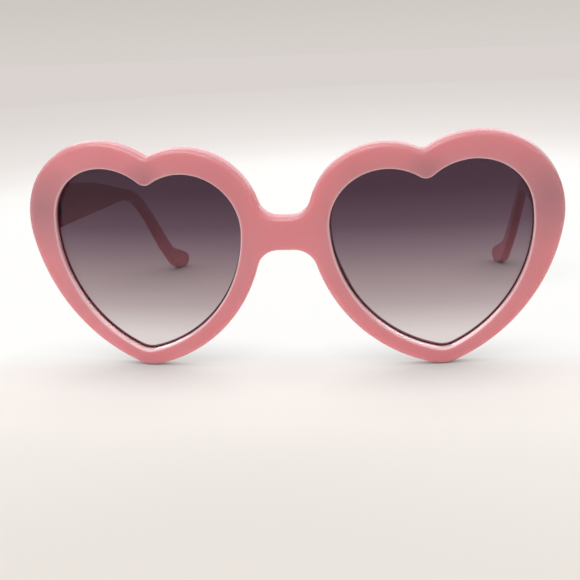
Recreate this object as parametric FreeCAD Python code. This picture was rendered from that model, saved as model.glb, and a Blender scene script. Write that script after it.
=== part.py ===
import FreeCAD, Part
import math
import os
from FreeCAD import Vector

# Heart shaped sunglasses, in millimetres and degrees, open and standing on a table.
# X runs across the face with the wearer's left at +X, Y from the front to the ears, Z up.

# Lens openings, drawn on the flat of the front: x from the middle, z from the feet of the rims
opening_gap = 23.4
opening_width = 52.8
opening_height = 52.1
inner_lobe_drop = 1.2
inner_lobe_radius = 15.1
outer_lobe_radius = 15.6
inner_flank_radius = 37.8
outer_flank_radius = 36.7
opening_tip_radius = 6.2
tip_place_share = 0.551

# Rims around the openings
rim_nose_width = 5.6
rim_inner_brow_width = 6.7
rim_outer_brow_width = 7.1
rim_side_width = 8.4
rim_tip_width = 4.6
rim_inner_lobe_radius = 20.1
rim_outer_lobe_radius = 23.4
rim_inner_flank_radius = 43.5
rim_outer_flank_radius = 46.5
rim_tip_radius = 7.2
rim_cleft_radius = 2.2
rim_thickness = 4.2
rim_front_bevel = 0.9
rim_back_bevel = 0.6
opening_front_bevel = 0.4
opening_back_bevel = 0.2
second_bevel_share = 0.4

# Bridge between the rims: its top stands above the middle of the inner lobes, and both its
# top and the arch under it have a short level piece in the middle
bridge_rise = 1.5
bridge_depth = 9.1
bridge_flat_length = 3.2
arch_flat_length = 4.0

# The front is a piece of an upright cylinder, and its top leans forward
front_curve_radius = 250.0
front_lean = 8.7

# Lenses in their grooves
lens_setback = 2.2
lens_thickness = 1.5
lens_cleft_radius = 2.2
groove_depth = 0.8
lens_clearance = 0.05

# Moulded nose pads, rounded fins behind the nose side of the rims
pad_length = 20.0
pad_depth = 4.2
pad_width = 3.6
pad_inset = 0.8
pad_bevel = 1.2
pad_splay = 10.0
pad_height = 26.0

# End pieces behind the rims, which the temples butt against
end_face_setback = 14.0
end_side_wall = 2.1
end_neck_length = 5.0
end_flare = 8.0
end_flare_radius = 5.0

# Hinges: the axis lies just inside the inner faces of end piece and temple
hinge_height = 44.4
hinge_offset = 0.2
knuckle_radius = 1.25
knuckle_height = 2.0
knuckle_gap = 0.1
knuckle_clearance = 0.25
leaf_thickness = 0.9
leaf_setback = 0.15
leaf_clearance = 0.03
front_leaf_length = 5.0
temple_leaf_length = 12.0
temple_leaf_height = 5.0
screw_radius = 0.6
screw_clearance = 0.03
screw_head_radius = 0.9
screw_head_height = 0.8
screw_slot_width = 0.35
screw_slot_depth = 0.4

# Temples, seen from the side: a tapering bar, the ear bend, the leg behind the ear and a boot
temple_front_height = 13.4
temple_top_slope = 7.1
temple_taper_slope = 11.1
temple_bottom_slope = 1.2
temple_taper_reach = 36.0
temple_taper_radius = 300.0
temple_bend_reach = 93.9
temple_top_bend_radius = 66.0
temple_bottom_bend_radius = 58.0
ear_slope = 43.5
ear_width = 4.1
boot_height = 10.1
boot_length = 8.2
boot_heel_radius = 12.0
boot_toe_radius = 3.1

# Temples, seen from above
temple_wall = 3.4
ear_thickness = 3.0
ear_curl_reach = 90.0
ear_curl_radius = 150.0
temple_bevel = 0.6
temple_butt_gap = 0.15

# Cuts run past the faces that they cut by the overrun; points nearer than the tolerance are one
overrun = 4.0
tolerance = 0.01

# Places that follow from the sizes
opening_inner_x = opening_gap / 2
opening_outer_x = opening_inner_x + opening_width
tip_x = opening_inner_x + opening_width * tip_place_share
outer_lobe_top = rim_tip_width + opening_height
inner_lobe_top = outer_lobe_top - inner_lobe_drop
front_depth = front_curve_radius / 2
front_height = outer_lobe_top + rim_outer_brow_width
temple_inner_x = opening_outer_x + groove_depth + end_side_wall
temple_outer_x = temple_inner_x + temple_wall
butt_top = hinge_height + temple_front_height / 2
butt_bottom = hinge_height - temple_front_height / 2
hinge_place = Vector(temple_inner_x - hinge_offset, end_face_setback, hinge_height)
barrel_half = 3 * knuckle_height / 2 + knuckle_gap
plate_inner_x = hinge_offset + (temple_wall - leaf_thickness) / 2
plate_outer_x = plate_inner_x + leaf_thickness


def unit(vector):
    return Vector(vector).normalize()


def mirrored(shape):
    return shape.mirror(Vector(), Vector(1, 0, 0))


def moved(shape, way):
    copy = shape.copy()
    copy.translate(way)
    return copy


def front_point(x, z):
    return Vector(x, 0, z)


def side_point(y, z):
    return Vector(0, y, z)


def meeting_point(first, first_reach, second, second_reach, side):
    # The point at given reaches from two others, left of the way between them where side is 1
    way = second - first
    along = (way.Length ** 2 + first_reach ** 2 - second_reach ** 2) / (2 * way.Length)
    across = math.sqrt(first_reach ** 2 - along ** 2)
    return first + unit(way) * along + unit(front_point(-way.z, way.x)) * (across * side)


def arc(centre, start, end):
    # The short arc about a centre
    radius = (start - centre).Length
    middle = centre + unit(unit(start - centre) + unit(end - centre)) * radius
    return Part.Arc(start, middle, end).toShape()


def joining_radius(across, along, radius):
    # The radius of an arc that leaves a level line and comes up against a circle
    return (across ** 2 + along ** 2 - radius ** 2) / (2 * (radius - along))


def closed_wire(edges):
    return Part.Wire(Part.sortEdges(edges)[0])


def heart_curves(lobes, tip, flank_radii, cleft_radius):
    # Two lobe circles and a tip circle, each a centre and a radius, wrapped by two long flanks
    (inner, inner_radius), (outer, outer_radius) = lobes
    point, point_radius = tip
    inner_bend, outer_bend = flank_radii
    cleft = meeting_point(inner, inner_radius + cleft_radius, outer, outer_radius + cleft_radius, 1)
    inner_flank = meeting_point(inner, inner_bend - inner_radius, point, inner_bend - point_radius, 1)
    outer_flank = meeting_point(outer, outer_bend - outer_radius, point, outer_bend - point_radius, -1)
    cleft_start = inner + unit(cleft - inner) * inner_radius
    cleft_end = outer + unit(cleft - outer) * outer_radius
    outer_end = outer + unit(outer - outer_flank) * outer_radius
    tip_start = point + unit(point - outer_flank) * point_radius
    tip_end = point + unit(point - inner_flank) * point_radius
    curves = [
        arc(cleft, cleft_start, cleft_end),
        arc(outer, cleft_end, outer_end),
        arc(outer_flank, outer_end, tip_start),
        arc(point, tip_start, tip_end),
    ]
    return curves, cleft_start, tip_end, inner_flank


def opening_outline(growth):
    # The heart of the left lens opening, grown all round
    inner = front_point(opening_inner_x + inner_lobe_radius, inner_lobe_top - inner_lobe_radius)
    outer = front_point(opening_outer_x - outer_lobe_radius, outer_lobe_top - outer_lobe_radius)
    point = front_point(tip_x, rim_tip_width + opening_tip_radius)
    lobes = [(inner, inner_lobe_radius + growth), (outer, outer_lobe_radius + growth)]
    tip = (point, opening_tip_radius + growth)
    flank_radii = [inner_flank_radius + growth, outer_flank_radius + growth]
    cleft_radius = lens_cleft_radius + groove_depth - growth
    curves, cleft_start, tip_end, flank = heart_curves(lobes, tip, flank_radii, cleft_radius)
    inner_start = inner + unit(inner - flank) * (inner_lobe_radius + growth)
    curves.append(arc(flank, tip_end, inner_start))
    curves.append(arc(inner, inner_start, cleft_start))
    return closed_wire(curves)


def front_outline():
    # Both rims and the bridge in one line, with the middle of the left rim's nose side curve
    inner = front_point(opening_inner_x - rim_nose_width + rim_inner_lobe_radius,
                        inner_lobe_top + rim_inner_brow_width - rim_inner_lobe_radius)
    outer = front_point(opening_outer_x + rim_side_width - rim_outer_lobe_radius,
                        outer_lobe_top + rim_outer_brow_width - rim_outer_lobe_radius)
    lobes = [(inner, rim_inner_lobe_radius), (outer, rim_outer_lobe_radius)]
    tip = (front_point(tip_x, rim_tip_radius), rim_tip_radius)
    flank_radii = [rim_inner_flank_radius, rim_outer_flank_radius]
    curves, cleft_start, tip_end, flank = heart_curves(lobes, tip, flank_radii, rim_cleft_radius)

    bridge_top = inner.z + bridge_rise
    top_end = bridge_flat_length / 2
    top_radius = joining_radius(inner.x - top_end, bridge_rise, rim_inner_lobe_radius)
    top_centre = front_point(top_end, bridge_top + top_radius)
    top_touch = inner + unit(top_centre - inner) * rim_inner_lobe_radius
    curves.append(arc(top_centre, front_point(top_end, bridge_top), top_touch))
    curves.append(arc(inner, top_touch, cleft_start))

    bridge_bottom = bridge_top - bridge_depth
    arch_end = arch_flat_length / 2
    arch_radius = joining_radius(flank.x - arch_end, flank.z - bridge_bottom, rim_inner_flank_radius)
    arch_centre = front_point(arch_end, bridge_bottom - arch_radius)
    arch_touch = flank + unit(arch_centre - flank) * rim_inner_flank_radius
    curves.append(arc(arch_centre, front_point(arch_end, bridge_bottom), arch_touch))
    curves.append(arc(flank, tip_end, arch_touch))

    curves += [mirrored(curve) for curve in curves]
    for end, z in ((top_end, bridge_top), (arch_end, bridge_bottom)):
        curves.append(Part.makeLine(front_point(-end, z), front_point(end, z)))
    return closed_wire(curves), flank


def prism(outline):
    # An outline on the flat of the front, run through from before it to behind it
    solid = Part.Face(outline).extrude(Vector(0, front_depth + overrun, 0))
    return moved(solid, Vector(0, -overrun, 0))


def curved_body(depth):
    # All that lies deeper than a depth behind the curved face
    base = Vector(0, front_curve_radius, -overrun)
    return Part.makeCylinder(front_curve_radius - depth, front_height + 2 * overrun, base)


def curved_layer(front, back):
    return curved_body(front).cut(curved_body(back))


def edges_near(solid, depth, outline, reach):
    # The edges of a curved face at some depth, and of its walls, that follow an outline of its flat
    found = []
    for edge in solid.Edges:
        middle = edge.valueAt((edge.FirstParameter + edge.LastParameter) / 2)
        fall_back = front_curve_radius - math.hypot(middle.x, middle.y - front_curve_radius)
        below = abs(fall_back - depth)
        inset = outline.distToShape(Part.Vertex(middle.x, 0, middle.z))[0]
        if min(below, inset) < tolerance and max(below, inset) < reach:
            found.append(edge)
    return found


def bevelled(solid, size, depth, outline):
    return solid.makeChamfer(size, edges_near(solid, depth, outline, tolerance))


def eased(solid, size, depth, outline):
    # A bevel whose own two edges are bevelled again, close to a round
    solid = bevelled(solid, size, depth, outline)
    edges = edges_near(solid, depth, outline, 2 * size)
    return solid.makeChamfer(size * second_bevel_share, edges)


def rims(outline):
    # The curved front with both openings, its edges eased and its lens grooves cut
    solid = prism(outline).common(curved_layer(0, rim_thickness))
    solid = eased(solid, rim_front_bevel, 0, outline)
    solid = bevelled(solid, rim_back_bevel, rim_thickness, outline)
    opening = opening_outline(0)
    for hole in (opening, mirrored(opening)):
        solid = solid.cut(prism(hole))
        solid = bevelled(solid, opening_front_bevel, 0, hole)
        solid = bevelled(solid, opening_back_bevel, rim_thickness, hole)
    groove_front = lens_setback - lens_clearance
    groove_back = lens_setback + lens_thickness + lens_clearance
    groove = prism(opening_outline(groove_depth)).common(curved_layer(groove_front, groove_back))
    return solid.cut([groove, mirrored(groove)])


def lens():
    # The left lens, a layer of the same curve that fills the groove but for its clearance
    outline = opening_outline(groove_depth - lens_clearance)
    return prism(outline).common(curved_layer(lens_setback, lens_setback + lens_thickness))


def nose_pad(flank):
    # The left pad, along the nose side of the rim, splayed and rooted halfway into the rim
    level = pad_height - flank.z
    edge = front_point(flank.x - math.sqrt(rim_inner_flank_radius ** 2 - level ** 2), pad_height)
    inward = unit(flank - edge)
    middle = edge + inward * (pad_inset + pad_width / 2)
    root_radius = front_curve_radius - rim_thickness / 2
    middle.y = front_curve_radius - math.sqrt(root_radius ** 2 - middle.x ** 2)
    low = side_point(0, -pad_length / 2)
    high = side_point(0, pad_length / 2)
    ridge = Part.Arc(low, side_point(rim_thickness / 2 + pad_depth, 0), high).toShape()
    fin = Part.Face(Part.Wire([ridge, Part.makeLine(high, low)])).extrude(Vector(pad_width, 0, 0))
    pad = moved(fin, Vector(-pad_width / 2, 0, 0))
    for size in (pad_bevel, pad_bevel * second_bevel_share):
        ridges = [edge for edge in pad.Edges if isinstance(edge.Curve, Part.Circle)]
        pad = pad.makeChamfer(size, ridges)
    pad.rotate(Vector(), Vector(0, 0, 1), -pad_splay)
    pad.rotate(Vector(), Vector(0, 1, 0), -math.degrees(math.asin(inward.z)))
    return moved(pad, middle).cut(prism(opening_outline(groove_depth)))


def fall(slope):
    return math.tan(math.radians(slope))


def along_slope(point, slope, y):
    # The point at another y on a line that falls towards the back
    return side_point(y, point.z - fall(slope) * (y - point.y))


def rounded_wire(corners):
    # A closed outline through corners, each with the radius that rounds it
    edges = []
    ends = []
    for index, (corner, radius) in enumerate(corners):
        before = unit(corners[index - 1][0] - corner)
        after = unit(corners[(index + 1) % len(corners)][0] - corner)
        half_turn = (math.pi - before.getAngle(after)) / 2
        start = corner + before * (radius * math.tan(half_turn))
        end = corner + after * (radius * math.tan(half_turn))
        if radius > 0:
            middle = corner + unit(before + after) * (radius / math.cos(half_turn) - radius)
            edges.append(Part.Arc(start, middle, end).toShape())
        ends.append((start, end))
    for index, (start, _) in enumerate(ends):
        last_end = ends[index - 1][1]
        if (start - last_end).Length > tolerance:
            edges.append(Part.makeLine(last_end, start))
    return closed_wire(edges)


def lengthwise_edges(solid, end_places):
    # The edges that run along a bar, without those of its ends and the seams between its faces
    found = []
    for edge in solid.Edges:
        first = edge.Vertexes[0].Point
        last = edge.Vertexes[-1].Point
        at_end = any(max(abs(first.y - y), abs(last.y - y)) < tolerance for y in end_places)
        upright = math.hypot(first.x - last.x, first.y - last.y) < tolerance
        across = math.hypot(first.y - last.y, first.z - last.z) < tolerance
        if not (at_end or upright or across):
            found.append(edge)
    return found


def end_piece():
    # The block behind the left rim that carries the hinge, flared where it grows from the rim
    neck = end_face_setback - end_neck_length
    root = neck - end_flare
    top = side_point(end_face_setback, butt_top)
    bottom = side_point(end_face_setback, butt_bottom)
    corners = [
        (top, 0),
        (along_slope(top, temple_top_slope, neck), end_flare_radius),
        (side_point(root, butt_top + end_flare), 0),
        (side_point(root, butt_bottom - end_flare), 0),
        (along_slope(bottom, temple_bottom_slope, neck), end_flare_radius),
        (bottom, 0),
    ]
    block = Part.Face(rounded_wire(corners)).extrude(Vector(temple_wall, 0, 0))
    block.translate(Vector(temple_inner_x, 0, 0))
    return block.makeChamfer(temple_bevel, lengthwise_edges(block, [root, end_face_setback]))


def temple_profile():
    # The side view of a temple, from its butt face to the toe of its boot on the table
    butt = end_face_setback + temple_butt_gap
    top = side_point(butt, butt_top)
    bottom = side_point(butt, butt_bottom)
    taper = along_slope(top, temple_top_slope, end_face_setback + temple_taper_reach)
    bend = along_slope(taper, temple_taper_slope, end_face_setback + temple_bend_reach)
    leg_end = bend.y + bend.z / fall(ear_slope)
    heel = side_point(leg_end - boot_height / fall(ear_slope), boot_height)
    sole = side_point(leg_end - ear_width / math.sin(math.radians(ear_slope)), 0)
    leg_rise = (sole.y - butt) * fall(ear_slope) - butt_bottom
    crook_y = butt + leg_rise / (fall(ear_slope) - fall(temple_bottom_slope))
    crook = along_slope(bottom, temple_bottom_slope, crook_y)
    toe_middle = side_point(sole.y + boot_length - boot_toe_radius, boot_toe_radius)
    way = toe_middle - heel
    boot_fall = math.atan2(-way.z, way.y) - math.asin(boot_toe_radius / way.Length)
    toe = side_point(heel.y + heel.z / math.tan(boot_fall), 0)
    sole_radius = (toe_middle.y - sole.y) / fall(ear_slope / 2)
    return rounded_wire([
        (top, 0),
        (taper, temple_taper_radius),
        (bend, temple_top_bend_radius),
        (heel, boot_heel_radius),
        (toe, boot_toe_radius),
        (sole, sole_radius),
        (crook, temple_bottom_bend_radius),
        (bottom, 0),
    ])


def temple_plan(end_y):
    # The top view of the left temple: a straight taper, then a curl towards the head
    butt = end_face_setback + temple_butt_gap
    curl_y = end_face_setback + ear_curl_reach
    turn = math.asin((end_y - curl_y) / ear_curl_radius)
    middle = Vector(temple_inner_x - ear_curl_radius, curl_y, 0)
    inner_radius = Vector(ear_curl_radius, 0, 0)
    outer_radius = Vector(ear_curl_radius + ear_thickness, 0, 0)
    curves = []
    for start_x, radius in ((temple_inner_x, inner_radius), (temple_outer_x, outer_radius)):
        way = Vector(math.cos(turn), math.sin(turn), 0) * radius.Length
        curves.append(Part.makeLine(Vector(start_x, butt, 0), middle + radius))
        curves.append(arc(middle, middle + radius, middle + way))
    inner_end = curves[1].Vertexes[-1].Point
    outer_end = curves[3].Vertexes[-1].Point
    curves.append(Part.makeLine(inner_end, outer_end))
    curves.append(Part.makeLine(Vector(temple_inner_x, butt, 0), Vector(temple_outer_x, butt, 0)))
    return closed_wire(curves)


def temple():
    profile = temple_profile()
    end_y = profile.BoundBox.YMax + overrun
    side = Part.Face(profile).extrude(Vector(temple_outer_x + overrun, 0, 0))
    plan = Part.Face(temple_plan(end_y)).extrude(Vector(0, 0, butt_top + 2 * overrun))
    bar = side.common(moved(plan, Vector(0, 0, -overrun)))
    butt = end_face_setback + temple_butt_gap
    bar = bar.makeChamfer(temple_bevel, lengthwise_edges(bar, [butt]))
    pocket = fused_boxes(temple_leaf_boxes(-overrun), leaf_clearance)
    return bar.cut([hinge_relief(), moved(pocket, hinge_place)])


def front_leaf_boxes(end):
    # Corners of the plate in the end piece and of the necks that join it to two knuckles
    boxes = [(Vector(plate_inner_x, -front_leaf_length, -barrel_half),
              Vector(plate_outer_x, end, barrel_half))]
    for low in (-barrel_half, barrel_half - knuckle_height):
        boxes.append((Vector(0, -knuckle_radius, low), Vector(plate_outer_x, end, low + knuckle_height)))
    return boxes


def temple_leaf_boxes(start):
    # Corners of the plate in the temple and of the neck that joins it to the middle knuckle
    return [
        (Vector(plate_inner_x, start, -temple_leaf_height / 2),
         Vector(plate_outer_x, temple_leaf_length, temple_leaf_height / 2)),
        (Vector(0, start, -knuckle_height / 2), Vector(plate_outer_x, knuckle_radius, knuckle_height / 2)),
    ]


def fused_boxes(corner_pairs, growth):
    # Boxes between pairs of corners, grown all round, in one solid
    boxes = []
    for low, high in corner_pairs:
        size = high - low
        corner = low - Vector(growth, growth, growth)
        boxes.append(Part.makeBox(size.x + 2 * growth, size.y + 2 * growth, size.z + 2 * growth, corner))
    return boxes[0].fuse(boxes[1:])


def axis_cylinder(radius, low, high):
    return Part.makeCylinder(radius, high - low, Vector(0, 0, low))


def hinge_relief():
    # The hollow for the barrel in the inner corner of the joint, open above for the screw
    hollow = axis_cylinder(knuckle_radius + knuckle_clearance, butt_bottom - overrun, butt_top + overrun)
    return moved(hollow, Vector(hinge_place.x, hinge_place.y, 0))


def hinge_leaf(boxes, knuckle_lows):
    # A leaf with its knuckles, bored for the screw and its head
    leaf = fused_boxes(boxes, 0)
    for low in knuckle_lows:
        leaf = leaf.fuse(axis_cylinder(knuckle_radius, low, low + knuckle_height))
    bore = axis_cylinder(screw_radius + screw_clearance, -barrel_half - overrun, barrel_half + overrun)
    seat_radius = screw_head_radius + screw_clearance
    seat = axis_cylinder(seat_radius, barrel_half - screw_head_height, barrel_half + overrun)
    return moved(leaf.cut([bore, seat]).removeSplitter(), hinge_place)


def hinge_screw():
    shank = axis_cylinder(screw_radius, -barrel_half, barrel_half)
    head = axis_cylinder(screw_head_radius, barrel_half - screw_head_height, barrel_half)
    slot_corner = Vector(-screw_head_radius, -screw_slot_width / 2, barrel_half - screw_slot_depth)
    slot = Part.makeBox(2 * screw_head_radius, screw_slot_width, screw_slot_depth, slot_corner)
    return moved(shank.fuse(head).cut(slot).removeSplitter(), hinge_place)


outline, flank = front_outline()
flat_front = rims(outline)
pad = nose_pad(flank)
flat_front = flat_front.fuse([pad, mirrored(pad)])
flat_front.rotate(Vector(), Vector(1, 0, 0), front_lean)
drop = Vector(0, 0, -flat_front.optimalBoundingBox(False).ZMin)


def stood(shape):
    # A shape of the flat front, leant forward and set down on the table
    leant = shape.copy()
    leant.rotate(Vector(), Vector(1, 0, 0), front_lean)
    leant.translate(drop)
    return leant


block = end_piece().common(stood(prism(outline).common(curved_body(rim_thickness / 2))))
pocket = moved(fused_boxes(front_leaf_boxes(overrun), leaf_clearance), hinge_place)
front = moved(flat_front, drop).fuse([block, mirrored(block)])
front = front.cut([hinge_relief(), pocket, mirrored(hinge_relief()), mirrored(pocket)])

front_boxes = front_leaf_boxes(-leaf_setback)
temple_boxes = temple_leaf_boxes(temple_butt_gap + leaf_setback)
left_pieces = {
    "lens": stood(lens()),
    "temple": temple(),
    "hinge_front_leaf": hinge_leaf(front_boxes, [-barrel_half, barrel_half - knuckle_height]),
    "hinge_temple_leaf": hinge_leaf(temple_boxes, [-knuckle_height / 2]),
    "hinge_screw": hinge_screw(),
}
pieces = {"front_frame": front}
for name, piece in left_pieces.items():
    pieces[name + "_left"] = piece
    pieces[name + "_right"] = mirrored(piece)

# The middle of the whole, from the front to the ears, comes to the origin
whole = Part.makeCompound(list(pieces.values())).optimalBoundingBox(False)
centring = Vector(0, -(whole.YMin + whole.YMax) / 2, 0)

os.makedirs("parts", exist_ok=True)
for name, piece in pieces.items():
    moved(piece, centring).exportStep(os.path.join("parts", name + ".step"))
    print(name, "solids", len(piece.Solids), "valid", piece.isValid(), "volume", round(piece.Volume, 1))
print("size", round(whole.XLength, 2), round(whole.YLength, 2), round(whole.ZLength, 2))
print("left hinge axis through", hinge_place + centring)
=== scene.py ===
import bpy
import bmesh
import math
from mathutils import Matrix, Vector


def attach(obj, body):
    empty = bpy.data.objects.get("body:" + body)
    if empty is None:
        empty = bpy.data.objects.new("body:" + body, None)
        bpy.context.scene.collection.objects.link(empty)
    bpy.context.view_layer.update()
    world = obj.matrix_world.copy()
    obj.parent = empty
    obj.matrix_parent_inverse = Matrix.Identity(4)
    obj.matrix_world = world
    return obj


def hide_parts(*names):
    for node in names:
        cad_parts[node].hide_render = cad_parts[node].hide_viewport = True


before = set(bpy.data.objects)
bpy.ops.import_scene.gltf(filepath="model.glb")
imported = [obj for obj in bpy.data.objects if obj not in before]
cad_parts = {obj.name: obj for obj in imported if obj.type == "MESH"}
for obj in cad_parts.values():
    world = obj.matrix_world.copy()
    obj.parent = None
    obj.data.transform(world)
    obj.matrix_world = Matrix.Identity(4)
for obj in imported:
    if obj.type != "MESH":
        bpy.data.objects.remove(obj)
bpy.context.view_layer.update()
mm = 0.001  # pieces are drawn in millimetres and shrunk to metres at the end
tiny = 0.001  # how near points have to be, in millimetres, to count as one
print("frame loaded:", sorted(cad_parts))


# nodes that the materials share

def newMaterial(name):
    material = bpy.data.materials.new(name)
    material.use_nodes = True
    nodes = material.node_tree.nodes
    return material, nodes, material.node_tree.links, nodes["Principled BSDF"]


def placeOn(nodes, links, kind):  # coordinates, whole and split
    place = nodes.new("ShaderNodeTexCoord").outputs[kind]
    split = nodes.new("ShaderNodeSeparateXYZ")
    links.new(place, split.inputs["Vector"])
    return place, split.outputs


def noiseOn(nodes, links, grain, stretch=(1, 1, 1)):  # grain holds scale and detail
    place = nodes.new("ShaderNodeTexCoord")
    mapping = nodes.new("ShaderNodeMapping")
    mapping.inputs["Scale"].default_value = stretch
    noise = nodes.new("ShaderNodeTexNoise")
    noise.inputs["Scale"].default_value, noise.inputs["Detail"].default_value = grain
    links.new(place.outputs["Object"], mapping.inputs["Vector"])
    links.new(mapping.outputs["Vector"], noise.inputs["Vector"])
    return noise.outputs["Fac"]


def rampOn(nodes, links, source, stops):
    ramp = nodes.new("ShaderNodeValToRGB")
    ends = ramp.color_ramp.elements
    ends[0].position, ends[0].color = stops[0]
    ends[1].position, ends[1].color = stops[-1]
    for position, colour in stops[1:-1]:
        ends.new(position).color = colour
    links.new(source, ramp.inputs["Fac"])
    return ramp.outputs["Color"]


toneSpan = (0.3, 0.7)  # noise values that show the deeper and the lighter tone


def tonesOn(nodes, links, noise, tones):
    return rampOn(nodes, links, noise, list(zip(toneSpan, tones)))


def rangeOn(nodes, links, source, ends, to=(0, 1)):
    span = nodes.new("ShaderNodeMapRange")
    span.inputs["From Min"].default_value, span.inputs["From Max"].default_value = ends
    span.inputs["To Min"].default_value, span.inputs["To Max"].default_value = to
    links.new(source, span.inputs["Value"])
    return span.outputs["Result"]


def spreadOn(nodes, links, colour, name, other):  # another colour where the piece's own attribute has it
    spread = nodes.new("ShaderNodeAttribute")
    spread.attribute_name = name
    blend = nodes.new("ShaderNodeMixRGB")
    links.new(spread.outputs["Fac"], blend.inputs["Fac"])
    links.new(colour, blend.inputs["Color1"])
    blend.inputs["Color2"].default_value = other
    return blend.outputs["Color"]


def mathOn(nodes, links, operation, first, second):  # the second can be a number
    step = nodes.new("ShaderNodeMath")
    step.operation = operation
    links.new(first, step.inputs[0])
    if isinstance(second, float):
        step.inputs[1].default_value = second
    else:
        links.new(second, step.inputs[1])
    return step.outputs["Value"]


def mixOn(nodes, links, share, first, second):
    mix = nodes.new("ShaderNodeMixShader")
    links.new(share, mix.inputs["Fac"])
    links.new(first, mix.inputs[1])
    links.new(second, mix.inputs[2])
    return mix.outputs["Shader"]


# materials of the glasses

pinkPlastic = {
    "frontTones": ((0.635, 0.245, 0.272, 1), (0.68, 0.275, 0.305, 1)),
    "templeTones": ((0.665, 0.225, 0.262, 1), (0.71, 0.252, 0.294, 1)),
    "pale": (0.85, 0.53, 0.56, 1),  # painted highlight: paler where the front rounds of the openings catch the light
    "paintedShade": (0.47, 0.205, 0.235, 1),  # painted shade, darker at the cleft and before the hinge
    "cloud": (45, 2), "smear": (130, 4), "peel": (700, 2),  # grains of the tones, the polish and the bump
    "roughness": (0.12, 0.20), "peelShare": 0.008, "peelDepth": 0.0005,
    "frontMilk": 1.0, "templeMilk": 0.0,  # how much of the light soaks in
    "soak": 0.006, "soakReach": (1.0, 0.6, 0.55),  # and how far, red the farthest
    "refraction": 1.55,
}


def makePinkPlastic(name, tones, milk):
    material, nodes, links, shader = newMaterial(name)
    colour = tonesOn(nodes, links, noiseOn(nodes, links, pinkPlastic["cloud"]), tones)
    # painted shade and painted highlight, mixed in from the piece's attributes
    for spread in ("paintedShade", "pale"):
        colour = spreadOn(nodes, links, colour, spread, pinkPlastic[spread])
    links.new(colour, shader.inputs["Base Color"])
    smear = noiseOn(nodes, links, pinkPlastic["smear"])
    links.new(rangeOn(nodes, links, smear, (0, 1), pinkPlastic["roughness"]), shader.inputs["Roughness"])
    bump = nodes.new("ShaderNodeBump")
    bump.inputs["Strength"].default_value = pinkPlastic["peelShare"]
    bump.inputs["Distance"].default_value = pinkPlastic["peelDepth"]
    links.new(noiseOn(nodes, links, pinkPlastic["peel"]), bump.inputs["Height"])
    links.new(bump.outputs["Normal"], shader.inputs["Normal"])
    shader.inputs["Subsurface Weight"].default_value = milk
    shader.inputs["Subsurface Radius"].default_value = pinkPlastic["soakReach"]
    shader.inputs["Subsurface Scale"].default_value = pinkPlastic["soak"]
    shader.inputs["IOR"].default_value = pinkPlastic["refraction"]
    return material


gradedTint = {
    "rise": (0.003, 0.060),  # heights between which the tint deepens
    "stops": [
        (0.00, (0.86, 0.80, 0.79, 1)),
        (0.12, (0.69, 0.62, 0.62, 1)),
        (0.25, (0.455, 0.37, 0.38, 1)),
        (0.33, (0.365, 0.285, 0.297, 1)),
        (0.52, (0.20, 0.136, 0.164, 1)),
        (0.64, (0.107, 0.061, 0.087, 1)),
        (0.80, (0.060, 0.028, 0.048, 1)),
        (1.00, (0.046, 0.020, 0.036, 1)),
    ],
    "paintedShadeLine": (0.045, 0.012, 0.018, 1),  # painted shade: a dark line along the edge that sits in the groove, where the groove is in shadow
    "haze": (90, 3), "roughness": (0.01, 0.05),
    "refraction": 1.3,
}


def makeGradedTint():
    material, nodes, links, shader = newMaterial("gradedTint")
    height = placeOn(nodes, links, "Object")[1]["Z"]
    tint = rampOn(nodes, links, rangeOn(nodes, links, height, gradedTint["rise"]), gradedTint["stops"])
    links.new(spreadOn(nodes, links, tint, "paintedShadeLine", gradedTint["paintedShadeLine"]), shader.inputs["Base Color"])
    haze = noiseOn(nodes, links, gradedTint["haze"])
    links.new(rangeOn(nodes, links, haze, (0, 1), gradedTint["roughness"]), shader.inputs["Roughness"])
    shader.inputs["Transmission Weight"].default_value = 1.0
    shader.inputs["IOR"].default_value = gradedTint["refraction"]
    return material


hingeSteel = {
    "tones": ((0.42, 0.41, 0.41, 1), (0.62, 0.61, 0.60, 1)),
    "lines": (900, 4), "stretch": (1, 1, 14),  # fine drawn lines across the leaves
    "roughness": (0.22, 0.42),
}


def makeHingeSteel():
    material, nodes, links, shader = newMaterial("hingeSteel")
    lines = noiseOn(nodes, links, hingeSteel["lines"], hingeSteel["stretch"])
    links.new(tonesOn(nodes, links, lines, hingeSteel["tones"]), shader.inputs["Base Color"])
    links.new(rangeOn(nodes, links, lines, (0, 1), hingeSteel["roughness"]), shader.inputs["Roughness"])
    shader.inputs["Metallic"].default_value = 1.0
    return material


frontFinish = makePinkPlastic("frontPlastic", pinkPlastic["frontTones"], pinkPlastic["frontMilk"])
templeFinish = makePinkPlastic("templePlastic", pinkPlastic["templeTones"], pinkPlastic["templeMilk"])
tintFinish = makeGradedTint()
steelFinish = makeHingeSteel()
print("materials ready")


# drawing outlines on the flat of the front: x across, z up, y is the depth

arcSteps = {  # edges along each arc or straight run
    "cleft": 8, "outerLobe": 40, "outerFlank": 32, "tip": 16, "innerFlank": 40, "noseSide": 22, "innerLobe": 16,
    "bridgeFlat": 2, "bridgeMiddle": 6, "crown": 14, "rimFlank": 26, "arch": 12,
}


def flat(x, z):
    return Vector((x, 0, z))


def meetingPoint(first, firstReach, second, secondReach, side):
    way = second - first
    along = (way.length_squared + firstReach ** 2 - secondReach ** 2) / (2 * way.length)
    across = math.sqrt(firstReach ** 2 - along ** 2) * side
    return first + way.normalized() * along + flat(-way.z, way.x).normalized() * across


def joiningRadius(across, along, radius):  # of an arc that leaves a level line and meets a circle
    return (across ** 2 + along ** 2 - radius ** 2) / (2 * (radius - along))


def sweepTo(bm, vert, centre, end, steps):  # an arc of edges
    start = vert.co - centre
    stop = end - centre
    turn = math.atan2(stop.x, stop.z) - math.atan2(start.x, start.z)
    turn = (turn + math.pi) % (2 * math.pi) - math.pi
    swept = bmesh.ops.spin(bm, geom=[vert], cent=centre, axis=(0, 1, 0), angle=turn, steps=steps)
    return [part for part in swept["geom_last"] if isinstance(part, bmesh.types.BMVert)][0]


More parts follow.
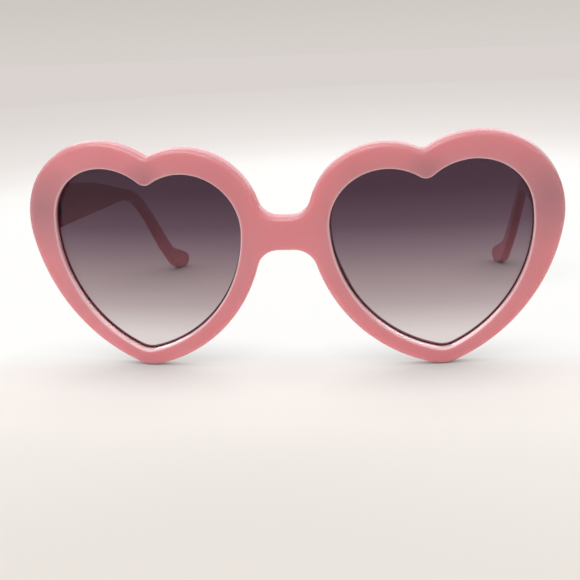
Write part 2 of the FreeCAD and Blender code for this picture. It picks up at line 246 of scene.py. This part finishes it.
def drawTo(bm, vert, end, steps):  # a straight run of edges
    stride = (end - vert.co) / steps
    for step in range(steps):
        vert = bmesh.ops.extrude_vert_indiv(bm, verts=[vert])["verts"][0]
        bmesh.ops.translate(bm, verts=[vert], vec=stride)
    return vert


def trace(bm, start, moves):  # a chain of arcs and straight runs, closed if it comes back to its start
    earlier = set(bm.edges)
    vert = bm.verts.new(start)
    for centre, end, steps in moves:
        vert = drawTo(bm, vert, end, steps) if centre is None else sweepTo(bm, vert, centre, end, steps)
    bmesh.ops.remove_doubles(bm, verts=bm.verts, dist=5 * tiny)
    return [edge for edge in bm.edges if edge not in earlier]


def heartCircles(shape, growth):
    circles = {}
    for name in ("innerLobe", "outerLobe", "tip"):
        x, z, radius = shape[name]
        circles[name] = (flat(x, z), radius + growth)
    inner, innerRadius = circles["innerLobe"]
    outer, outerRadius = circles["outerLobe"]
    tip, tipRadius = circles["tip"]
    innerBend, outerBend = [bend + growth for bend in shape["flanks"]]
    cleftRadius = shape["cleft"] - growth
    cleft = meetingPoint(inner, innerRadius + cleftRadius, outer, outerRadius + cleftRadius, 1)
    innerFlank = meetingPoint(inner, innerBend - innerRadius, tip, innerBend - tipRadius, 1)
    outerFlank = meetingPoint(outer, outerBend - outerRadius, tip, outerBend - tipRadius, -1)
    circles["cleft"] = (cleft, cleftRadius)
    circles["innerFlank"] = (innerFlank, innerBend)
    circles["outerFlank"] = (outerFlank, outerBend)
    return circles


def heartMoves(circles):  # from the cleft over the outer lobe and round the tip
    inner, innerRadius = circles["innerLobe"]
    outer, outerRadius = circles["outerLobe"]
    tip, tipRadius = circles["tip"]
    cleft = circles["cleft"][0]
    innerFlank = circles["innerFlank"][0]
    outerFlank = circles["outerFlank"][0]
    start = inner + (cleft - inner).normalized() * innerRadius
    moves = [
        (cleft, outer + (cleft - outer).normalized() * outerRadius, arcSteps["cleft"]),
        (outer, outer + (outer - outerFlank).normalized() * outerRadius, arcSteps["outerLobe"]),
        (outerFlank, tip + (tip - outerFlank).normalized() * tipRadius, arcSteps["outerFlank"]),
        (tip, tip + (tip - innerFlank).normalized() * tipRadius, arcSteps["tip"]),
    ]
    return start, moves


opening = {  # the left lens opening; circles are x, z and radius
    "innerLobe": (26.8, 40.4, 15.1), "outerLobe": (48.9, 41.1, 15.6), "tip": (40.793, 10.8, 6.2),
    "flanks": (37.8, 36.7), "cleft": 3.0,
    "noseTurn": math.radians(150),  # denser below this turn, beside the bridge
}


def traceOpening(bm, growth):
    circles = heartCircles(opening, growth)
    inner, innerRadius = circles["innerLobe"]
    innerFlank = circles["innerFlank"][0]
    nose = flat(math.cos(opening["noseTurn"]), math.sin(opening["noseTurn"]))
    start, moves = heartMoves(circles)
    moves += [
        (innerFlank, inner + (inner - innerFlank).normalized() * innerRadius, arcSteps["innerFlank"]),
        (inner, inner + nose * innerRadius, arcSteps["noseSide"]),
        (inner, start, arcSteps["innerLobe"]),
    ]
    return trace(bm, start, moves)


# shaping and finishing that the pieces share

sharpFold = 1.0  # edges that fold by more, in radians, get their rounds
sharpShade = math.radians(38)  # and these stay sharp in the shading
frontStand = {"bend": 250.0, "lean": math.radians(8.7), "drop": -0.69764, "back": -69.51326}


def fall(degrees):
    return math.tan(math.radians(degrees))


def wholeOf(bm):
    return bm.verts[:] + bm.edges[:] + bm.faces[:]


def thicken(bm, way):  # a flat shape becomes a block
    grown = bmesh.ops.extrude_face_region(bm, geom=bm.faces[:])
    verts = [part for part in grown["geom"] if isinstance(part, bmesh.types.BMVert)]
    bmesh.ops.translate(bm, verts=verts, vec=way)


def cutStrips(bm, way, start, stop, stride):  # upright strips, so that a flat shape can bend
    while start < stop:
        bmesh.ops.bisect_plane(bm, geom=wholeOf(bm), plane_co=way * start, plane_no=way)
        start += stride


def roundEdges(bm, edges, size, segments):
    bmesh.ops.bevel(bm, geom=edges, offset=size, offset_type="OFFSET", segments=segments, profile=0.5,
                    affect="EDGES", clamp_overlap=False, material=-1)


def turnToRight(bm):  # the mirror image of a left piece
    bmesh.ops.scale(bm, verts=bm.verts, vec=(-1, 1, 1))
    bmesh.ops.reverse_faces(bm, faces=bm.faces)


def standFront(bm):  # from the flat to the bent front that leans over the table
    bend = frontStand["bend"]
    for vert in bm.verts:
        vert.co.y = bend - math.sqrt((bend - vert.co.y) ** 2 - vert.co.x ** 2)
    bmesh.ops.rotate(bm, verts=bm.verts, cent=(0, 0, 0), matrix=Matrix.Rotation(frontStand["lean"], 3, "X"))
    bmesh.ops.translate(bm, verts=bm.verts, vec=(0, frontStand["back"], frontStand["drop"]))


def combined(bm, other, operation):  # two meshes made one, both in millimetres
    objects = []
    for name, shape in (("block", bm), ("other", other)):
        mesh = bpy.data.meshes.new(name)
        shape.to_mesh(mesh)
        shape.free()
        objects.append(bpy.data.objects.new(name, mesh))
        bpy.context.collection.objects.link(objects[-1])
    joint = objects[0].modifiers.new("joint", "BOOLEAN")
    joint.operation = operation
    joint.solver = "EXACT"
    joint.object = objects[1]
    bpy.context.view_layer.update()
    result = bpy.data.meshes.new_from_object(objects[0].evaluated_get(bpy.context.evaluated_depsgraph_get()))
    out = bmesh.new()
    out.from_mesh(result)
    for thing in objects:
        old = thing.data
        bpy.data.objects.remove(thing)
        bpy.data.meshes.remove(old)
    bpy.data.meshes.remove(result)
    bmesh.ops.dissolve_degenerate(out, dist=tiny / 100, edges=out.edges[:])
    return out


def finishPiece(name, bm, body, finish, node):
    bmesh.ops.scale(bm, verts=bm.verts, vec=(mm, mm, mm))
    mesh = bpy.data.meshes.new(name)
    bm.to_mesh(mesh)
    bm.free()
    mesh.shade_smooth()
    mesh.set_sharp_from_angle(angle=sharpShade)
    mesh.materials.append(finish)
    piece = bpy.data.objects.new(name, mesh)
    bpy.context.collection.objects.link(piece)
    flats = piece.modifiers.new("flats", "WEIGHTED_NORMAL")  # broad faces stay flat beside their rounds
    flats.keep_sharp = True
    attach(piece, body)
    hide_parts(node)
    print(name, len(mesh.polygons), "faces")


# front frame: two heart rims, the bridge and the nose pads

rim = {
    "innerLobe": (26.2, 42.1, 20.1), "outerLobe": (49.5, 40.4, 23.4), "tip": (40.793, 7.2, 7.2),
    "flanks": (43.5, 46.5), "cleft": 2.2,
    "bridgeTop": 43.6, "bridgeBottom": 34.5, "topFlat": 1.6, "archFlat": 2.0,
    "thickness": 4.2, "frontRound": 1.25, "backRound": 0.75, "openingRound": 0.6, "openingBackRound": 0.22,
    "groove": (2.15, 3.75, 0.8),  # front wall, back wall, depth
    "bands": (1.9, 1.2),  # even strips along the outside and the openings, wide enough for their rounds
    "cuts": 4,  # short faces bend with the front
    "paintedHighlightShare": 0.25,  # of an opening's front round, over which its painted highlight turns pale
    "paintedShadeSpots": [(37.2, 53.0, 7.0), (69.0, 45.5, 16.0)],  # x, z and reach of the painted shade, at the cleft and before the hinge
}
openingMark = 100  # on the points of the openings; rounding an edge blends it


def atOpening(vert, mark):
    return vert[mark] > openingMark / 2


def traceRim(bm, growth, closed):  # half of the outside, from the bridge's top round the left rim to its arch
    circles = heartCircles(rim, 0)
    inner, innerRadius = circles["innerLobe"]
    flank, flankRadius = circles["innerFlank"]
    top, bottom = rim["bridgeTop"], rim["bridgeBottom"]
    arch = flat(rim["archFlat"], bottom - joiningRadius(flank.x - rim["archFlat"], flank.z - bottom, flankRadius))
    crown = flat(rim["topFlat"], top + joiningRadius(inner.x - rim["topFlat"], top - inner.z, innerRadius))
    start, heart = heartMoves(heartCircles(rim, growth))
    overBridge = [
        (None, flat(rim["topFlat"], top + growth), arcSteps["bridgeFlat"]),
        (crown, inner + (crown - inner).normalized() * (innerRadius + growth), arcSteps["crown"]),
        (inner, start, arcSteps["innerLobe"]),
    ]
    underBridge = [
        (flank, flank + (arch - flank).normalized() * (flankRadius + growth), arcSteps["rimFlank"]),
        (arch, flat(rim["archFlat"], bottom - growth), arcSteps["arch"]),
        (None, flat(0, bottom - growth), arcSteps["bridgeFlat"]),
    ]
    if closed:
        middle = [(None, flat(0, top + growth), arcSteps["bridgeMiddle"])]
        return trace(bm, start, heart + underBridge + middle + overBridge)
    return trace(bm, flat(0, top + growth), overBridge + heart + underBridge)


def sharpEdges(bm, mark, depth, ofOpenings):  # the right-angled edges at a depth, of the openings or outside
    found = []
    for edge in bm.edges:
        level = all(abs(vert.co.y - depth) < tiny for vert in edge.verts)
        wanted = all(atOpening(vert, mark) == ofOpenings for vert in edge.verts)
        if level and wanted and len(edge.link_faces) == 2 and edge.calc_face_angle() > sharpFold:
            found.append(edge)
    return found


def openingWalls(bm, mark):
    lining = [face for face in bm.faces if all(atOpening(vert, mark) for vert in face.verts)]
    return [face for face in lining if abs(face.normal.y) < 0.1]  # upright ones, not the rounds


def cutGrooves(bm, mark):
    front, back, depth = rim["groove"]
    for level in (front, back):
        walls = openingWalls(bm, mark)
        edges = {edge for face in walls for edge in face.edges}
        verts = {vert for face in walls for vert in face.verts}
        bmesh.ops.bisect_plane(bm, geom=walls + list(edges) + list(verts), plane_co=(0, level, 0), plane_no=(0, 1, 0))
    band = [face for face in openingWalls(bm, mark) if front < face.calc_center_median().y < back]
    bmesh.ops.inset_region(bm, faces=band, thickness=0, depth=-depth, use_even_offset=True, use_boundary=True)


nosePad = {
    "height": 26.0, "reach": 11.5, "rise": 4.1, "inset": 0.7, "width": 5.0, "splay": fall(10),
    "ease": (1.5, 1.2),  # how gently it swells along and across
    "field": (24, 8, 44),  # farthest from the middle, lowest and highest place that gets finer faces
}


def swellPads(bm):  # nose pads grow out of the back of the rims
    flank, flankRadius = heartCircles(rim, 0)["innerFlank"]
    thickness = rim["thickness"]
    back = {face for face in bm.faces if all(abs(vert.co.y - thickness) < tiny for vert in face.verts)}
    aside, lowest, highest = nosePad["field"]
    across = []
    for edge in bm.edges:
        near = all(abs(vert.co.x) < aside and lowest < vert.co.z < highest for vert in edge.verts)
        if near and len(edge.link_faces) == 2 and all(face in back for face in edge.link_faces):
            across.append(edge)
    bmesh.ops.subdivide_edges(bm, edges=across, cuts=1)
    middle = math.asin((nosePad["height"] - flank.z) / flankRadius)
    alongEase, acrossEase = nosePad["ease"]
    for vert in bm.verts:
        if abs(vert.co.y - thickness) > tiny:
            continue
        spoke = flat(flank.x - abs(vert.co.x), vert.co.z - flank.z)
        along = flankRadius * (math.atan2(spoke.z, spoke.x) - middle) / nosePad["reach"]
        inset = (flankRadius - spoke.length - nosePad["inset"]) / nosePad["width"] * 2 - 1
        if abs(along) < 1 and abs(inset) < 1:
            rise = nosePad["rise"] * (1 - along ** 2) ** alongEase * (1 - inset ** 2) ** acrossEase
            vert.co.y += rise
            vert.co.x += math.copysign(rise * nosePad["splay"], vert.co.x)


# end pieces: the blocks behind the rims that carry the hinges

endPiece = {
    "inner": 67.4, "wall": 3.4, "face": 14.0, "neck": 9.0, "root": 1.6, "top": 51.1, "bottom": 37.7,
    "topSlope": 7.1, "bottomSlope": 1.2, "flare": 7.4, "flareRound": 3.2, "edgeRound": 0.6,
    "trims": range(-56, 81, 8), "trimInset": 0.15,  # turns at which it is trimmed to the round of the rim
}
hinge = {  # where the temples turn, and the hollow round the barrel
    "x": 67.2, "y": endPiece["face"] + frontStand["back"], "height": 44.4, "hollow": 1.5, "reach": 12.0,
}


def hingeHollow():
    bm = bmesh.new()
    place = Matrix.Translation((hinge["x"], hinge["y"], hinge["height"]))
    bmesh.ops.create_cone(bm, cap_ends=True, segments=40, radius1=hinge["hollow"], radius2=hinge["hollow"],
                          depth=2 * hinge["reach"], matrix=place)
    return bm


def trim(bm, spot, outward):  # takes off what lies beyond a plane and closes the cut
    cut = bmesh.ops.bisect_plane(bm, geom=wholeOf(bm), plane_co=spot, plane_no=outward, clear_outer=True)
    edges = [part for part in cut["geom_cut"] if isinstance(part, bmesh.types.BMEdge)]
    if edges:
        bmesh.ops.holes_fill(bm, edges=edges)


def makeEndPiece():  # the left one
    bm = bmesh.new()
    sizes = endPiece
    neckRun = sizes["face"] - sizes["neck"]
    corners = [
        (sizes["face"], sizes["top"]), (sizes["neck"], sizes["top"] + neckRun * fall(sizes["topSlope"])),
        (sizes["root"], sizes["top"] + sizes["flare"]), (sizes["root"], sizes["bottom"] - sizes["flare"]),
        (sizes["neck"], sizes["bottom"] + neckRun * fall(sizes["bottomSlope"])), (sizes["face"], sizes["bottom"]),
    ]
    verts = [bm.verts.new((sizes["inner"], y, z)) for y, z in corners]
    bm.faces.new(verts)
    bmesh.ops.bevel(bm, geom=[verts[1], verts[4]], offset=sizes["flareRound"], offset_type="ABSOLUTE", segments=8,
                    profile=0.5, affect="VERTICES", material=-1)
    thicken(bm, (sizes["wall"], 0, 0))
    bmesh.ops.recalc_face_normals(bm, faces=bm.faces)
    lengthwise = []
    for edge in bm.edges:
        first, second = edge.verts
        atEnd = any(all(abs(vert.co.y - sizes[end]) < 10 * tiny for vert in edge.verts) for end in ("face", "root"))
        if not atEnd and abs(first.co.x - second.co.x) < 10 * tiny:
            lengthwise.append(edge)
    roundEdges(bm, lengthwise, sizes["edgeRound"], 4)
    bmesh.ops.translate(bm, verts=bm.verts, vec=(0, frontStand["back"], 0))
    lean = Matrix.Rotation(frontStand["lean"], 3, "X")
    lift = Vector((0, frontStand["back"], frontStand["drop"]))
    x, z, radius = rim["outerLobe"]
    for degrees in sizes["trims"]:
        angle = math.radians(degrees)
        normal = flat(math.cos(angle), math.sin(angle))
        trim(bm, lean @ (flat(x, z) + normal * (radius - sizes["trimInset"])) + lift, lean @ normal)
    depth = frontStand["bend"] - rim["thickness"] / 2
    outward = Vector((sizes["inner"], -math.sqrt(depth ** 2 - sizes["inner"] ** 2), 0))
    spot = lean @ (outward + Vector((0, frontStand["bend"], sizes["bottom"]))) + lift  # rooted halfway into the rim
    trim(bm, spot, lean @ outward.normalized())
    bmesh.ops.remove_doubles(bm, verts=bm.verts, dist=tiny)
    bmesh.ops.recalc_face_normals(bm, faces=bm.faces)
    return combined(bm, hingeHollow(), "DIFFERENCE")


def makeFrontFrame():
    bm = bmesh.new()
    mark = bm.verts.layers.int.new("opening")
    outerBand, openingBand = rim["bands"]
    thickness, openingRound = rim["thickness"], rim["openingRound"]
    edgeOfOpening = traceOpening(bm, 0)
    for vert in bm.verts:
        vert[mark] = openingMark
    aroundOpening = traceOpening(bm, openingBand)
    outside = traceRim(bm, 0, False)
    inside = traceRim(bm, -outerBand, True)
    alongside = [edge for edge in inside if max(abs(vert.co.x) for vert in edge.verts) > tiny]
    bmesh.ops.triangle_fill(bm, use_beauty=True, edges=aroundOpening + inside, normal=(0, -1, 0))
    crossing = [edge for edge in bm.edges if len(edge.link_faces) == 2]
    bmesh.ops.subdivide_edges(bm, edges=crossing, cuts=rim["cuts"])
    for first, second in ((edgeOfOpening, aroundOpening), (outside, alongside)):
        bmesh.ops.bridge_loops(bm, edges=first + second)
    thicken(bm, (0, thickness, 0))
    middle = [face for face in bm.faces if all(abs(vert.co.x) < tiny for vert in face.verts)]
    bmesh.ops.delete(bm, geom=middle, context="FACES")
    bmesh.ops.mirror(bm, geom=wholeOf(bm), matrix=Matrix.Identity(4), axis="X", merge_dist=tiny)
    bmesh.ops.remove_doubles(bm, verts=bm.verts, dist=tiny)
    bmesh.ops.recalc_face_normals(bm, faces=bm.faces)
    roundEdges(bm, sharpEdges(bm, mark, 0, False), rim["frontRound"], 6)
    roundEdges(bm, sharpEdges(bm, mark, thickness, False), rim["backRound"], 4)
    roundEdges(bm, sharpEdges(bm, mark, 0, True), openingRound, 4)
    roundEdges(bm, sharpEdges(bm, mark, thickness, True), rim["openingBackRound"], 2)
    # painted highlight on the front rounds of the openings
    pale = bm.verts.layers.float.new("pale")
    paintedShade = bm.verts.layers.float.new("paintedShade")
    for vert in bm.verts:
        if atOpening(vert, mark) and vert.co.y < openingRound + 10 * tiny:
            vert[pale] = min(1, vert.co.y / (openingRound * rim["paintedHighlightShare"]))
        # painted shade, fading out from the cleft and from before the hinge
        for x, z, reach in rim["paintedShadeSpots"]:
            near = 1 - (flat(abs(vert.co.x), vert.co.z) - flat(x, z)).length / reach
            vert[paintedShade] = max(vert[paintedShade], near)
    bm.normal_update()
    cutGrooves(bm, mark)
    swellPads(bm)
    standFront(bm)
    leftBlock, rightBlock = makeEndPiece(), makeEndPiece()
    turnToRight(rightBlock)
    for block in (leftBlock, rightBlock):
        bm = combined(bm, block, "UNION")
    finishPiece("frontFrame", bm, "front", frontFinish, "front_frame")


makeFrontFrame()


# lenses, let into the grooves

lens = {
    "growth": 0.75, "setback": 2.2, "thickness": 1.5,
    "paintedShadeLine": 0.22, "fade": 0.22,  # width of the painted shade line, and of its soft side
    "strips": (12.0, 65.0, 1.5),  # first, last and width
}


def makeLens(side):
    bm = bmesh.new()
    paintedShadeLine = bm.verts.layers.float.new("paintedShadeLine")
    traceOpening(bm, lens["growth"])
    bmesh.ops.contextual_create(bm, geom=bm.edges[:])
    # painted shade along the edge of the lens, where it sits in the groove
    for vert in bm.verts:
        vert[paintedShadeLine] = 1
    pane = bm.faces[:]
    for width in (lens["growth"] + lens["paintedShadeLine"], lens["fade"]):
        bmesh.ops.inset_region(bm, faces=pane, thickness=width, use_even_offset=True, use_boundary=True)
    for face in pane:
        for vert in face.verts:
            vert[paintedShadeLine] = 0
    cutStrips(bm, Vector((1, 0, 0)), *lens["strips"])
    bmesh.ops.translate(bm, verts=bm.verts, vec=(0, lens["setback"], 0))
    thicken(bm, (0, lens["thickness"], 0))
    if side == "right":
        turnToRight(bm)
    bmesh.ops.recalc_face_normals(bm, faces=bm.faces)
    standFront(bm)
    name = "lens_" + side
    finishPiece("tinted_" + name, bm, "front", tintFinish, name)


for side in ("left", "right"):
    makeLens(side)


# temples: a side view with rounded corners, thickened, tapered and curled

temple = {
    "inner": endPiece["inner"], "top": endPiece["top"], "bottom": endPiece["bottom"], "butt": 14.15,
    "topSlope": endPiece["topSlope"], "bottomSlope": endPiece["bottomSlope"], "taperSlope": 11.1, "earSlope": 43.5,
    "wall": endPiece["wall"], "earWall": 3.0, "earWidth": 4.1,
    "taperY": 50.0, "taperRadius": 300.0, "bendY": 107.9, "topBend": 66.0, "bottomBend": 58.0,
    "bootHeight": 10.1, "bootLength": 8.2, "heelRadius": 12.0, "toeRadius": 3.1,
    "curlY": 104.0, "curlRadius": 150.0, "edgeRound": 0.75, "strip": 3.0,
    "leastSteps": 6, "stepTurn": 4,  # edges of a rounded corner, and degrees to each where there are more
}


def templeCorners():  # y, z and the radius that rounds each corner
    sizes = temple
    top, bottom = sizes["top"], sizes["bottom"]
    taperZ = top - fall(sizes["topSlope"]) * (sizes["taperY"] - sizes["butt"])
    bendZ = taperZ - fall(sizes["taperSlope"]) * (sizes["bendY"] - sizes["taperY"])
    ear = fall(sizes["earSlope"])
    legEnd = sizes["bendY"] + bendZ / ear
    heelY = legEnd - sizes["bootHeight"] / ear
    soleY = legEnd - sizes["earWidth"] / math.sin(math.radians(sizes["earSlope"]))
    crookY = sizes["butt"] + ((soleY - sizes["butt"]) * ear - bottom) / (ear - fall(sizes["bottomSlope"]))
    crookZ = bottom - fall(sizes["bottomSlope"]) * (crookY - sizes["butt"])
    soleRun = sizes["bootLength"] - sizes["toeRadius"]
    toeRun = soleY + soleRun - heelY
    toeDrop = sizes["bootHeight"] - sizes["toeRadius"]
    bootFall = math.atan2(toeDrop, toeRun) - math.asin(sizes["toeRadius"] / math.hypot(toeRun, toeDrop))
    toeY = heelY + sizes["bootHeight"] / math.tan(bootFall)
    return [
        (sizes["butt"], top, 0), (sizes["taperY"], taperZ, sizes["taperRadius"]),
        (sizes["bendY"], bendZ, sizes["topBend"]), (heelY, sizes["bootHeight"], sizes["heelRadius"]),
        (toeY, 0, sizes["toeRadius"]), (soleY, 0, soleRun / fall(sizes["earSlope"] / 2)),
        (crookY, crookZ, sizes["bottomBend"]), (sizes["butt"], bottom, 0),
    ]


def roundedMoves(corners):  # straight runs between arcs that round the corners
    moves = []
    spots = [flat(y, z) for y, z, radius in corners]
    for index, (y, z, radius) in enumerate(corners):
        spot = spots[index]
        before = (spots[index - 1] - spot).normalized()
        after = (spots[(index + 1) % len(spots)] - spot).normalized()
        halfTurn = (math.pi - before.angle(after)) / 2
        reach = radius * math.tan(halfTurn)
        moves.append((None, spot + before * reach, 1))
        if radius:
            centre = spot + (before + after).normalized() * (radius / math.cos(halfTurn))
            steps = int(math.degrees(2 * halfTurn) / temple["stepTurn"])
            moves.append((centre, spot + after * reach, max(temple["leastSteps"], steps)))
    return moves


def makeTemple(side):
    bm = bmesh.new()
    butt, curlY = temple["butt"], temple["curlY"]
    moves = roundedMoves(templeCorners())
    trace(bm, moves[0][1], moves[1:] + moves[:1])
    bmesh.ops.contextual_create(bm, geom=bm.edges[:])
    bmesh.ops.rotate(bm, verts=bm.verts, cent=(0, 0, 0), matrix=Matrix.Rotation(math.radians(90), 3, "Z"))
    end = max(vert.co.y for vert in bm.verts)
    cutStrips(bm, Vector((0, 1, 0)), butt + temple["strip"], end - 1, temple["strip"])
    thicken(bm, (1, 0, 0))
    bmesh.ops.recalc_face_normals(bm, faces=bm.faces)
    middle = temple["inner"] - temple["curlRadius"]
    for vert in bm.verts:  # taper and curl seen from above
        past = max(0, vert.co.y - curlY)
        share = min(1, (vert.co.y - butt) / (curlY - butt))
        wall = temple["wall"] + (temple["earWall"] - temple["wall"]) * share
        reach = temple["curlRadius"] + (wall if vert.co.x > 0.5 else 0)
        vert.co.x = middle + math.sqrt(reach ** 2 - past ** 2)
    lengthwise = []
    for edge in bm.edges:
        atButt = all(abs(vert.co.y - butt) < 10 * tiny for vert in edge.verts)
        if not atButt and edge.calc_face_angle(0) > sharpFold:
            lengthwise.append(edge)
    roundEdges(bm, lengthwise, temple["edgeRound"], 5)
    bmesh.ops.translate(bm, verts=bm.verts, vec=(0, frontStand["back"], 0))
    bmesh.ops.remove_doubles(bm, verts=bm.verts, dist=tiny)
    bm = combined(bm, hingeHollow(), "DIFFERENCE")
    if side == "right":
        turnToRight(bm)
    name = "temple_" + side
    finishPiece("moulded_" + name, bm, name, templeFinish, name)


for side in ("left", "right"):
    makeTemple(side)


# hinges keep their CAD shape and get a drawn steel finish

for name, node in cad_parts.items():
    if name.startswith("hinge"):
        for place in node.material_slots:
            place.material = steelFinish
print("hinges finished")


# stage: a wide pale floor, white behind the glasses and greyer far off

floor = {
    "radius": 9.0, "roughness": 0.9, "shine": 0.2,
    "colour": [
        (0.0, (0.83, 0.785, 0.73, 1)), (0.4, (0.91, 0.865, 0.82, 1)),
        (0.7, (0.98, 0.93, 0.885, 1)), (1.0, (0.95, 0.905, 0.87, 1)),
    ],
    "run": (-0.21, -0.074),  # depths between which the colour in front runs, darker towards the front as a painted light falloff
    "frontShare": 0.6,  # how much of that colour shows without the lamps
    "contact": 0.03,  # how far from the glasses their shadow darkens it
    "white": (-0.074, -0.056),  # behind these depths the floor shows as white
    "whiteShare": 0.88,  # the rest keeps the shadow
    "off": (0.28, 0.5),  # beyond these distances nothing of the lamps shows on it
    "stretch": (1.8, 1, 1),  # distances count more to the sides
    "far": 2.0,
    "fade": [  # by distance, as a share of the far one
        (0.20, (1.0, 1.0, 0.985, 1)), (0.25, (0.985, 0.97, 0.95, 1)), (0.29, (0.92, 0.885, 0.86, 1)),
        (0.37, (0.835, 0.795, 0.77, 1)), (0.49, (0.785, 0.745, 0.72, 1)), (0.65, (0.745, 0.70, 0.675, 1)),
        (0.93, (0.72, 0.675, 0.65, 1)), (1.0, (0.70, 0.65, 0.625, 1)),
    ],
}


def seenShare(nodes, links):  # 1 on rays that show the stage: from the camera, off gloss and through the lenses
    path = nodes.new("ShaderNodeLightPath").outputs
    direct = mathOn(nodes, links, "MAXIMUM", path["Is Camera Ray"], path["Is Glossy Ray"])
    return mathOn(nodes, links, "MAXIMUM", direct, path["Is Transmission Ray"])


def makeFloorPaper():
    material, nodes, links, shader = newMaterial("floorPaper")
    material.cycles.emission_sampling = "NONE"  # its glow is for the eye and lights nothing
    place, split = placeOn(nodes, links, "Object")
    tint = rampOn(nodes, links, rangeOn(nodes, links, split["Y"], floor["run"]), floor["colour"])
    links.new(tint, shader.inputs["Base Color"])
    shader.inputs["Roughness"].default_value = floor["roughness"]
    shader.inputs["Specular IOR Level"].default_value = floor["shine"]
    wide = nodes.new("ShaderNodeMapping")
    wide.inputs["Scale"].default_value = floor["stretch"]
    links.new(place, wide.inputs["Vector"])
    length = nodes.new("ShaderNodeVectorMath")
    length.operation = "LENGTH"
    links.new(wide.outputs["Vector"], length.inputs[0])
    away = length.outputs["Value"]
    fade = rampOn(nodes, links, rangeOn(nodes, links, away, (0, floor["far"])), floor["fade"])
    behind = rangeOn(nodes, links, split["Y"], floor["white"], (0, floor["whiteShare"]))
    pale = mathOn(nodes, links, "MAXIMUM", behind, rangeOn(nodes, links, away, floor["off"]))
    seen = seenShare(nodes, links)
    surface = shader.outputs["BSDF"]
    for amount, colour in ((floor["frontShare"], tint), (pale, fade)):
        shade = nodes.new("ShaderNodeAmbientOcclusion")
        shade.inputs["Distance"].default_value = floor["contact"]
        links.new(colour, shade.inputs["Color"])
        glow = nodes.new("ShaderNodeEmission")
        links.new(shade.outputs["Color"], glow.inputs["Color"])
        share = mathOn(nodes, links, "MULTIPLY", seen, amount)
        surface = mixOn(nodes, links, share, surface, glow.outputs["Emission"])
    links.new(surface, nodes["Material Output"].inputs["Surface"])
    return material


def makeFloor():
    bm = bmesh.new()
    bmesh.ops.create_circle(bm, cap_ends=True, segments=64, radius=floor["radius"])
    mesh = bpy.data.meshes.new("floor")
    bm.to_mesh(mesh)
    bm.free()
    mesh.materials.append(makeFloorPaper())
    piece = bpy.data.objects.new("floor", mesh)
    bpy.context.collection.objects.link(piece)


makeFloor()


# lights: a broad one above the front, and a long one low behind that shines through the plastic

lampAim = Vector((0, -0.04, 0.03))
lamps = [
    {"name": "keyLight", "place": (-0.45, -1.0, 1.1), "size": (1.4, 1.0), "power": 9.5, "gloss": True},
    {"name": "backLight", "place": (0.0, 1.2, 0.50), "size": (2.2, 0.6), "power": 20.0, "gloss": False},
]
for lamp in lamps:
    light = bpy.data.lights.new(lamp["name"], "AREA")
    light.shape = "RECTANGLE"
    light.size, light.size_y = lamp["size"]
    light.energy = lamp["power"]
    holder = bpy.data.objects.new(lamp["name"], light)
    holder.location = lamp["place"]
    holder.rotation_euler = (lampAim - Vector(lamp["place"])).to_track_quat("-Z", "Y").to_euler()
    holder.visible_camera = False
    holder.visible_glossy = lamp["gloss"]
    bpy.context.collection.objects.link(holder)

studio = {
    "light": (1.0, 0.99, 0.98, 1), "strength": 0.5,
    "rise": (-0.05, 0.05),  # heights of view between which the far wall changes
    "wall": [(0.0, (0.70, 0.65, 0.625, 1)), (0.5, (0.68, 0.635, 0.605, 1)), (1.0, (0.61, 0.57, 0.53, 1))],
    "sky": [  # what the gloss mirrors: brighter from the wall up to the ceiling
        (0.08, (0.65, 0.62, 0.60, 1)), (0.16, (1.5, 1.5, 1.5, 1)),
        (0.55, (1.6, 1.6, 1.6, 1)), (0.80, (2.4, 2.4, 2.4, 1)),
    ],
}


def makeStudio():
    world = bpy.data.worlds.new("studio")
    world.use_nodes = True
    nodes, links = world.node_tree.nodes, world.node_tree.links
    light = nodes["Background"]
    light.inputs["Color"].default_value = studio["light"]
    light.inputs["Strength"].default_value = studio["strength"]
    height = placeOn(nodes, links, "Generated")[1]["Z"]
    wall = rampOn(nodes, links, rangeOn(nodes, links, height, studio["rise"]), studio["wall"])
    sky = rampOn(nodes, links, height, studio["sky"])
    gloss = nodes.new("ShaderNodeLightPath").outputs["Is Glossy Ray"]
    surface = light.outputs["Background"]
    for share, colour in ((seenShare(nodes, links), wall), (gloss, sky)):
        other = nodes.new("ShaderNodeBackground")
        links.new(colour, other.inputs["Color"])
        surface = mixOn(nodes, links, share, surface, other.outputs["Background"])
    links.new(surface, nodes["World Output"].inputs["Surface"])
    return world


bpy.context.scene.world = makeStudio()
bpy.context.scene.view_settings.view_transform = "Standard"
print("stage and lights ready")


# camera at the photograph's angle

view = {
    "place": (0.039038, -0.356077, 0.086316), "yaw": -7.7556, "pitch": 12.5692, "roll": -2.4620,
    "lens": 68.28, "sensor": 36, "nearest": 0.01,
}
cameraData = bpy.data.cameras.new("camera")
cameraData.lens = view["lens"]
cameraData.sensor_width = view["sensor"]
cameraData.clip_start = view["nearest"]
camera = bpy.data.objects.new("camera", cameraData)
camera.matrix_world = (Matrix.Translation(view["place"]) @ Matrix.Rotation(math.radians(-view["yaw"]), 4, "Z")
                       @ Matrix.Rotation(math.radians(90 - view["pitch"]), 4, "X")
                       @ Matrix.Rotation(math.radians(view["roll"]), 4, "Z"))
bpy.context.collection.objects.link(camera)
bpy.context.scene.camera = camera

bpy.context.view_layer.update()
